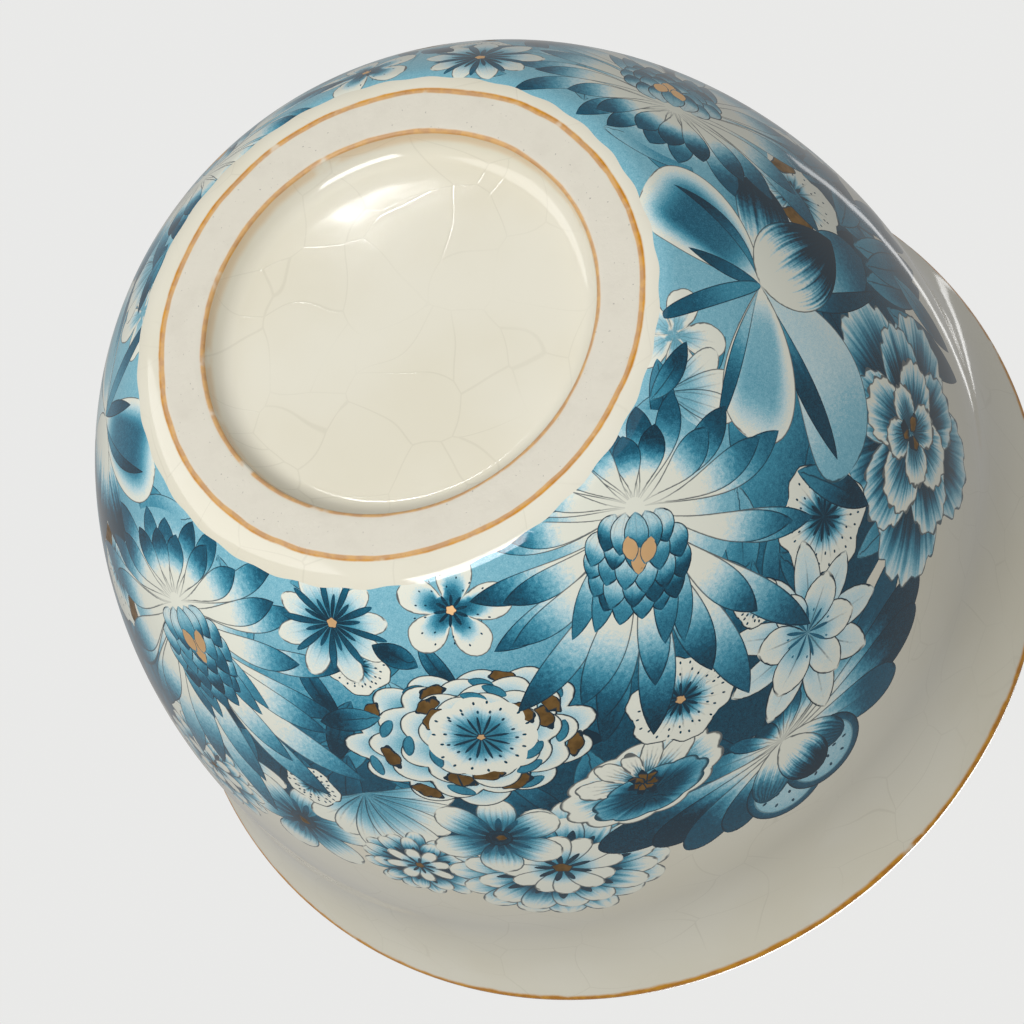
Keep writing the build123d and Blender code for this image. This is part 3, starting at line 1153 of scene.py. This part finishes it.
# %% The turning tree
class Wire:
    """An output socket of a node, with the arithmetic that is used on it."""

    def __init__(self, maker, socket):
        self.maker, self.socket = maker, socket

    def maths(self, operation, *others):
        """A Math node on this value and others."""
        values = {place: value for place, value in enumerate((self, *others))}
        return self.maker.node("ShaderNodeMath", {"operation": operation}, values)

    def __add__(self, other):
        return self.maths("ADD", other)

    def __sub__(self, other):
        return self.maths("SUBTRACT", other)

    def __rsub__(self, other):
        return self.maker.node("ShaderNodeMath", {"operation": "SUBTRACT"}, {0: other, 1: self})

    def __mul__(self, other):
        return self.maths("MULTIPLY", other)

    def __truediv__(self, other):
        return self.maths("DIVIDE", other)

    __radd__ = __add__
    __rmul__ = __mul__

    def most(self, other):
        """The larger of two values."""
        return self.maths("MAXIMUM", other)

    def size(self):
        """The value without its sign."""
        return self.maths("ABSOLUTE")

    def rise(self, low, high):
        """0 below low, 1 above high, and a smooth rise between; high may be the lower."""
        share = self.maker.node("ShaderNodeClamp", {}, {"Value": (self - low) / (high - low)})
        return share * share * (3 - 2 * share)


class Maker:
    """A node tree, and the one method that adds a node to it."""

    def __init__(self, tree):
        self.tree = tree
        tree.nodes.clear()

    def node(self, kind, settings=None, values=None, output=0):
        """A node of a type, with its settings and its sockets' values, as one output."""
        node = self.tree.nodes.new(kind)
        settings = dict(settings or {})
        for place, value in settings.pop("stops", []):
            used = node.color_ramp.elements
            stop = {0: used[0], 1: used[-1]}.get(place) or used.new(place)
            stop.color = (*value, 1)
        for name, value in settings.items():
            setattr(node, name, value)
        for name, value in (values or {}).items():
            if isinstance(value, Wire):
                self.tree.links.new(value.socket, node.inputs[name])
            else:
                node.inputs[name].default_value = value
        return Wire(self, node.outputs[output]) if node.outputs else None


def turning_tree():
    """The tree that turns a flat sheet into a skin about the axis."""
    tree = bpy.data.node_groups.new("turn on the wheel", "GeometryNodeTree")
    maker = Maker(tree)
    face = tree.interface
    face.new_socket("Geometry", in_out="OUTPUT", socket_type="NodeSocketGeometry")
    face.new_socket("Sheet", in_out="INPUT", socket_type="NodeSocketGeometry")
    face.new_socket("Outline", in_out="INPUT", socket_type="NodeSocketObject")
    face.new_socket("Glaze", in_out="INPUT", socket_type="NodeSocketMaterial")
    face.new_socket("Seam gap", in_out="INPUT", socket_type="NodeSocketFloat")
    given = tree.nodes.new("NodeGroupInput")
    sheet, outline, glaze, gap = (Wire(maker, socket) for socket in given.outputs[:4])

    place = maker.node("GeometryNodeInputPosition")
    parts = tree.nodes.new("ShaderNodeSeparateXYZ")
    tree.links.new(place.socket, parts.inputs[0])
    angle, along = Wire(maker, parts.outputs[0]), Wire(maker, parts.outputs[1])
    curve = maker.node("GeometryNodeObjectInfo", {}, {"Object": outline}, "Geometry")
    point = maker.node("GeometryNodeSampleCurve", {"mode": "LENGTH"},
                       {"Curves": curve, "Length": along * MM}, "Position")
    parts = tree.nodes.new("ShaderNodeSeparateXYZ")
    tree.links.new(point.socket, parts.inputs[0])
    radius, height = Wire(maker, parts.outputs[0]), Wire(maker, parts.outputs[1])
    turned = maker.node("ShaderNodeCombineXYZ", {}, {
        "X": radius * angle.maths("SINE"), "Y": radius * angle.maths("COSINE") * -1, "Z": height})

    known = maker.node("GeometryNodeStoreNamedAttribute", {"data_type": "FLOAT", "domain": "POINT"},
                       {"Geometry": sheet, "Name": "along", "Value": along})
    skin = maker.node("GeometryNodeSetPosition", {}, {"Geometry": known, "Position": turned})
    skin = maker.node("GeometryNodeMergeByDistance", {}, {"Geometry": skin, "Distance": gap})
    skin = maker.node("GeometryNodeRealizeInstances", {}, {"Geometry": skin})
    skin = maker.node("GeometryNodeSetMaterial", {}, {"Geometry": skin, "Material": glaze})
    result = tree.nodes.new("NodeGroupOutput")
    tree.links.new(skin.socket, result.inputs[0])
    return tree


wheel = turning_tree()
wheel_inputs = {item.name: item.identifier for item in wheel.interface.items_tree}
print("turning tree:", len(wheel.nodes), "nodes; inputs", list(wheel_inputs))


# %% Throw a piece
seam_gap = 2e-6


def curve_of(name, points):
    """A curve object through points in millimetres, which the tree samples."""
    data = bpy.data.curves.new(name, "CURVE")
    data.dimensions = "3D"
    spline = data.splines.new("POLY")
    spline.points.add(len(points) - 1)
    for spot, (radius, height) in zip(spline.points, points):
        spot.co = (radius * MM, height * MM, 0, 1)
    return bpy.data.objects.new(name, data)


def throw(name, sheet, outline, material):
    """Turns a sheet into a closed plain mesh, smooth with the outline's own normals."""
    guide = curve_of(name + "_outline", outline.points)
    raw = bpy.data.objects.new(name + "_sheet", sheet.mesh(name + "_sheet"))
    for thing in (guide, raw):
        bpy.context.scene.collection.objects.link(thing)
    turner = raw.modifiers.new("turn", "NODES")
    turner.node_group = wheel
    turner[wheel_inputs["Outline"]] = guide
    turner[wheel_inputs["Glaze"]] = material
    turner[wheel_inputs["Seam gap"]] = seam_gap
    ready = bpy.context.evaluated_depsgraph_get()
    turned = raw.evaluated_get(ready)
    mesh = bpy.data.meshes.new_from_object(turned, preserve_all_data_layers=True, depsgraph=ready)
    for thing in (raw, guide):
        bpy.data.objects.remove(thing)
    mesh.name = name

    count = len(mesh.vertices)
    along, place = np.zeros(count), np.zeros(count * 3)
    mesh.attributes["along"].data.foreach_get("value", along)
    mesh.vertices.foreach_get("co", place)
    place = place.reshape(-1, 3)
    radial = place[:, :2] / np.maximum(np.hypot(*place[:, :2].T), 1e-9)[:, None]
    level, up = outline.outward(along)
    mesh.shade_smooth()
    mesh.normals_split_custom_set_from_vertices(np.column_stack([radial * level[:, None], up]))
    piece = bpy.data.objects.new(name, mesh)
    bpy.context.scene.collection.objects.link(piece)
    loops = np.zeros(len(mesh.loops), int)
    mesh.loops.foreach_get("edge_index", loops)
    sides = np.bincount(loops, minlength=len(mesh.edges))
    open_edges = int((sides != 2).sum())
    print(name, "mesh:", len(mesh.polygons), "faces; edges without two faces:", open_edges)
    return piece


# %% [markdown]
# ## The finishes
#
# The body is a cream stoneware under a clear glossy glaze that has crazed into a faint net
# of cracks. The decal lies under that glaze, so it is as glossy. The gold is fired on top,
# so it is metal. The foot ring is wiped clean of glaze, or the bowl would stick to the kiln
# shelf: there the matt clay shows, between two lines of ochre slip. All of this is one
# material for each piece, because the finishes meet along soft or ragged edges that no
# mesh edge follows.

# %% Colours
def colour(red, green, blue):
    """A colour as seen on a screen, 0 to 255, as the linear values that shaders use."""
    shares = [value / 255 for value in (red, green, blue)]
    return tuple(s / 12.92 if s <= 0.04045 else ((s + 0.055) / 1.055) ** 2.4 for s in shares)


cream = colour(223, 219, 203)
warm_cream = colour(216, 210, 189)
crack_grey = colour(172, 166, 146)
clay = colour(213, 208, 194)
shaded_clay = colour(201, 195, 181)
speck = colour(120, 112, 108)
ochre = colour(204, 142, 18)
rust = colour(184, 120, 14)
navy = colour(4, 36, 52)
gold = (0.95, 0.6, 0.3)
bronze = (0.3, 0.17, 0.055)
dark_bronze = (0.12, 0.07, 0.025)
print_tones = [
    (0, colour(229, 230, 216)),
    (0.16, colour(194, 219, 223)),
    (0.36, colour(130, 187, 203)),
    (0.58, colour(60, 142, 167)),
    (0.8, colour(10, 90, 116)),
    (1, colour(0, 44, 62)),
]


# %% The printed petals
# How far from an edge or a vein its ink fades out, and the gold starts, in millimetres.
outline_fade = (0.2, 0.07)
vein_fade = (0.13, 0.03)
gilt_start = (0.06, 0.14)
blend_width = 0.56
ink_strength = 0.85


class Finish(Maker):
    """A material under way, with what every finish of this piece reads."""

    def __init__(self, name):
        self.material = bpy.data.materials.new(name)
        self.material.use_nodes = True
        super().__init__(self.material.node_tree)
        place = self.node("ShaderNodeTexCoord", output="Object")
        self.place = self.node("ShaderNodeVectorMath", {"operation": "SCALE"},
                               {0: place, "Scale": 1 / MM})
        self.along = self.node("ShaderNodeAttribute", {"attribute_name": "along"}, output="Fac")

    def noise(self, scale, detail=2.0, place=None):
        """Soft noise about 0.5, with blotches about 1 / scale millimetres wide."""
        values = {"Vector": place or self.place, "Scale": scale, "Detail": detail}
        return self.node("ShaderNodeTexNoise", {}, values, "Fac")

    def look(self, name):
        """The four values of one of a corner's looks."""
        kept = self.node("ShaderNodeAttribute", {"attribute_name": name}, output="Color")
        alpha = Wire(self, kept.socket.node.outputs["Alpha"])
        split = self.node("ShaderNodeSeparateColor", {}, {"Color": kept}, "Red").socket.node
        return [Wire(self, split.outputs[part]) for part in range(3)] + [alpha]

    def mix(self, share, first, second):
        """A colour between two, by a share."""
        values = {"Factor": share, 6: self.solid(first), 7: self.solid(second)}
        return self.node("ShaderNodeMix", {"data_type": "RGBA"}, values, 2)

    def solid(self, value):
        """A colour in the form that a socket takes: a wire, or four numbers."""
        return value if isinstance(value, Wire) else (*value, 1)

    def petals(self):
        """The colour of the print, and where there is print and gold."""
        share, across, half, side = self.look("petal_place")
        base, tip, blend, blush = self.look("petal_tone")
        printed, gilded, line, vein_dark = self.look("petal_kind")
        count, scale, seed, _ = self.look("petal_vein")
        across = across.size()
        at_root, at_tip = vein_dark.most(0), (vein_dark * -1).most(0)
        grain = self.noise(2.6, 3)
        screen = self.noise(9.0, 0)

        lengthwise = self.node("ShaderNodeCombineXYZ", {}, {
            "X": side * count * 1.3, "Y": share * 0.6, "Z": seed * 40})
        streaks = self.noise(1.0, 1, lengthwise) - 0.5
        turned = share + (grain - 0.5) * 0.1 + streaks * vein_dark.size() * 0.55 - blend
        turned = self.node("ShaderNodeClamp", {}, {"Value": turned / blend_width + 0.5})
        turned = turned * turned * (3 - 2 * turned)
        tone = base + (tip - base) * turned
        heart = (share * (1 - share) * 4).rise(0.05, 0.95) * across.rise(1, 0.35)
        tone = tone + blush * heart
        tone = tone + (grain - 0.5) * 0.14 + (screen - 0.5) * 0.2 + (seed - 0.5) * 0.06

        from_edge = (1 - across) * half
        edge_line = from_edge.rise(*outline_fade) * line * (0.25 + half.rise(0.05, 0.7) * 0.75)
        parting = (side * count * 0.5 + 0.5).maths("FRACT") - 0.5
        from_vein = parting.size() * 2 * scale / count.most(1)
        fade = (share + (grain - 0.5) * 0.5).rise(0.9, 0.4)
        vein_dark = at_root * fade + at_tip * (1 - fade)
        vein = from_vein.rise(*vein_fade) * vein_dark * scale.rise(0.1, 0.6)
        inked = self.node("ShaderNodeValToRGB", {"stops": print_tones}, {"Fac": tone}, "Color")
        inked = self.mix(edge_line.most(vein) * ink_strength, inked, navy)
        gilt = printed * gilded.rise(0.1, 0.2) * from_edge.rise(*gilt_start)
        return inked, gilt, gilded.rise(0.6, 0.95), printed


# %% The glaze, the lines and the clay
# The cracks: cells to a millimetre, how far they are bent, and how wide and dark they are.
crack_scale = 0.14
crack_bend = (8, 8, 8)
crack_fade = (0.014, 0.003)
crack_dark = 0.17
crack_depth = 0.003
glaze_index = 1.48


def finish_piece(name, lines, bare=None):
    """A piece's finish: lines are (along, half width, soft edge, strength) of ochre.

    bare is where the clay without glaze starts and ends along the outline, if it does.
    """
    make = Finish(name)
    inked, gilded, bright, printed = make.petals()

    cloud = make.noise(0.06, 3)
    body = make.mix(cloud.rise(0.35, 0.7) * 0.6, cream, warm_cream)
    soft = {"Vector": make.place, "Scale": 0.09, "Detail": 0.5}
    warp = make.node("ShaderNodeTexNoise", {}, soft, "Color")
    bent = make.node("ShaderNodeVectorMath", {"operation": "MULTIPLY_ADD"},
                     {0: warp, 1: crack_bend, 2: make.place})
    cells = {"Vector": bent, "Scale": crack_scale, "Randomness": 1.0}
    crack = make.node("ShaderNodeTexVoronoi", {"feature": "DISTANCE_TO_EDGE"}, cells, "Distance")
    crack = crack.rise(*crack_fade) * make.noise(0.07, 1).rise(0.3, 0.6)
    body = make.mix(crack * crack_dark, body, crack_grey)
    body = make.mix(printed, body, inked)

    ragged = make.noise(0.5, 4)
    slip = None
    for middle, half, soft, strength in lines:
        edge = (make.along + (make.noise(0.12, 2) - 0.5) * 0.5 - middle).size()
        spread = half * (0.5 + ragged)
        mark = (edge - spread).rise(soft, 0) * strength
        slip = mark if slip is None else slip.most(mark)
    slip = slip * make.noise(0.25, 3).rise(0.26, 0.4)
    slip_colour = make.mix(slip.rise(0.5, 1) * make.noise(0.9, 3).rise(0.4, 0.6), ochre, rust)
    body = make.mix(slip, body, slip_colour)

    rough = 0.05 + make.noise(0.4, 2) * 0.04 + slip * 0.2
    bump = make.noise(0.16, 2) * 0.03 - crack * crack_depth
    if bare:
        start, end = bare
        wobble = make.along + (ragged - 0.5) * 0.5
        matt = wobble.rise(start - 0.15, start + 0.15) * wobble.rise(end + 0.15, end - 0.15)
        matt = matt * (1 - slip * 0.75)
        grit = make.noise(3.2, 2)
        dusty = make.mix(grit.rise(0.68, 0.76) * 0.6, clay, speck)
        dusty = make.mix(make.noise(0.35, 3).rise(0.45, 0.8) * 0.4, dusty, shaded_clay)
        body = make.mix(matt, body, dusty)
        rough = rough + matt * 0.55
        bump = bump + matt * make.noise(2.2, 3) * 0.05

    worn = make.noise(1.1, 3)
    leafing = make.mix(worn.rise(0.3, 0.7) * 0.7, bronze, dark_bronze)
    leafing = make.mix(bright * worn.rise(0.2, 0.35), leafing, gold)
    body = make.mix(gilded, body, leafing)
    rough = rough + gilded * (0.2 + worn * 0.25)
    relief = {"Strength": 0.6, "Distance": MM, "Height": bump}
    bumped = make.node("ShaderNodeBump", {}, relief, "Normal")
    skin = make.node("ShaderNodeBsdfPrincipled", {}, {
        "Base Color": body, "Roughness": rough, "Metallic": gilded * 0.8, "Normal": bumped,
        "IOR": glaze_index}, "BSDF")
    make.node("ShaderNodeOutputMaterial", {}, {"Surface": skin})
    return make.material


# %% The two finishes
ends = bowl_outline.ends
bowl_lines = [
    (ends["ring_edge"] - 0.2, 0.17, 0.25, 1.0),
    (ends["ring"] - 0.1, 0.18, 0.2, 1.0),
    (ends["recess"] - 0.4, 0.3, 0.7, 0.3),
    (ends["flare"] + 0.55, 0.6, 0.5, 1.0),
]
bowl_finish = finish_piece("bowl_glaze_and_print", bowl_lines, (ends["recess"], ends["ring"]))
ends = lid_outline.ends
lid_lines = [
    ((ends["knob"] + ends["knob_top"]) / 2, 0.3, 0.4, 0.9),
    ((ends["under"] + ends["edge"]) / 2 + 0.5, 0.3, 0.4, 0.9),
]
lid_finish = finish_piece("lid_glaze_and_print", lid_lines)
for finish in (bowl_finish, lid_finish):
    print(finish.name, "has", len(finish.node_tree.nodes), "nodes")

# %% The two pieces
bowl_skin = throw("bowl_skin", bowl_sheet, bowl_outline, bowl_finish)
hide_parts("bowl")
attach(bowl_skin, "bowl")
lid_skin = throw("lid_skin", lid_sheet, lid_outline, lid_finish)
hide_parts("lid")
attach(lid_skin, "lid")

# %% [markdown]
# ## The stage
#
# The camera looks up at the foot from below the floor, so the floor has one side: from
# above it is plain and pale and takes the bowl's shadow, and from below it is not there.
# Far off it fades into the world, so that a level view shows no edge. Soft lamps stand
# above and below. The world is pale where the camera looks straight at it, and dimmer in
# the glaze and as a lamp, so that the cream stays below white.

# %% Camera
camera_place = Vector((0.0, -0.16854, -0.26605))
camera_ahead = Vector((0.01002, 0.48050, 0.87694))
camera_up = Vector((-0.64014, 0.67681, -0.36353))
camera_data = bpy.data.cameras.new("camera")
camera_data.lens = 123.05
camera_data.sensor_width = 36.0
camera = bpy.data.objects.new("camera", camera_data)
bpy.context.scene.collection.objects.link(camera)
camera_right = camera_ahead.cross(camera_up)
camera.matrix_world = Matrix.Translation(camera_place) @ Matrix(
    (camera_right, camera_up, -camera_ahead)).transposed().to_4x4()
bpy.context.scene.camera = camera

# %% Floor and world
white = (0.86, 0.86, 0.85)


def stage_floor(size):
    """A pale floor that only the camera sees, only from above, and that fades out far off."""
    mesh = bpy.data.meshes.new("floor")
    corners = [(-size, -size, 0), (size, -size, 0), (size, size, 0), (-size, size, 0)]
    mesh.from_pydata(corners, [], [(0, 1, 2, 3)])
    floor = bpy.data.objects.new("floor", mesh)
    bpy.context.scene.collection.objects.link(floor)
    material = bpy.data.materials.new("floor")
    material.use_nodes = True
    make = Maker(material.node_tree)
    below = make.node("ShaderNodeNewGeometry", output="Backfacing")
    place = make.node("ShaderNodeTexCoord", output="Object")
    far = make.node("ShaderNodeVectorMath", {"operation": "LENGTH"}, {0: place}, "Value")
    pale = make.node("ShaderNodeBsdfDiffuse", {}, {"Color": (*white, 1)})
    glow = make.node("ShaderNodeEmission", {}, {"Color": (*white, 1), "Strength": 0.9})
    pale = make.node("ShaderNodeMixShader", {}, {0: 0.4, 1: pale, 2: glow})
    clear = make.node("ShaderNodeBsdfTransparent")
    hidden = below.most(far.rise(0.15, 0.8))
    both = make.node("ShaderNodeMixShader", {}, {0: hidden, 1: pale, 2: clear})
    make.node("ShaderNodeOutputMaterial", {}, {"Surface": both})
    mesh.materials.append(material)
    for ray in ("diffuse", "glossy", "transmission", "shadow", "volume_scatter"):
        setattr(floor, "visible_" + ray, False)


stage_floor(1.0)
world = bpy.data.worlds.new("studio")
world.use_nodes = True
bpy.context.scene.world = world
make = Maker(world.node_tree)
rays = make.node("ShaderNodeLightPath").socket.node
seen, glossy, through = (
    Wire(make, rays.outputs[f"Is {kind} Ray"]) for kind in ("Camera", "Glossy", "Transmission"))
mirrored = glossy.most(through)
strength = 0.33 + seen.most(mirrored * 0.2) * 0.62
paint = make.node("ShaderNodeBackground", {}, {"Color": (*white, 1), "Strength": strength})
make.node("ShaderNodeOutputWorld", {}, {"Surface": paint})


# %% Lamps
def softbox(name, aim, far, size, watts, along=(0, 0, 1)):
    """A rectangular lamp in a direction from the bowl, with its height along another."""
    away = Vector(aim).normalized()
    side = Vector(along).cross(away).normalized()
    data = bpy.data.lights.new(name, "AREA")
    data.shape = "RECTANGLE"
    data.size, data.size_y = size
    data.energy = watts
    lamp = bpy.data.objects.new(name, data)
    turned = Matrix((side, away.cross(side), away)).transposed().to_4x4()
    lamp.matrix_world = Matrix.Translation(away * far + Vector((0, 0, 0.03))) @ turned
    bpy.context.scene.collection.objects.link(lamp)


softbox("ceiling", (0.0, -0.02, 1.0), 1.7, (0.8, 0.8), 17, (0, 1, 0))
softbox("window", (-0.45, 0.35, 0.75), 1.1, (0.04, 0.45), 0.07)
softbox("strip_below", (0.36, -0.45, -0.82), 0.9, (0.42, 0.28), 4.2, (0.26, -0.73, 0.48))
softbox("side_below", (0.5, 0.5, -0.8), 1.0, (0.6, 0.6), 2.8)
softbox("wide_below", (-0.25, -0.1, -1.0), 1.3, (1.4, 1.4), 3.4)
softbox("pane_below", (-0.034, 0.551, -0.79), 0.95, (0.055, 0.034), 0.17)
bpy.context.scene.view_settings.view_transform = "Standard"
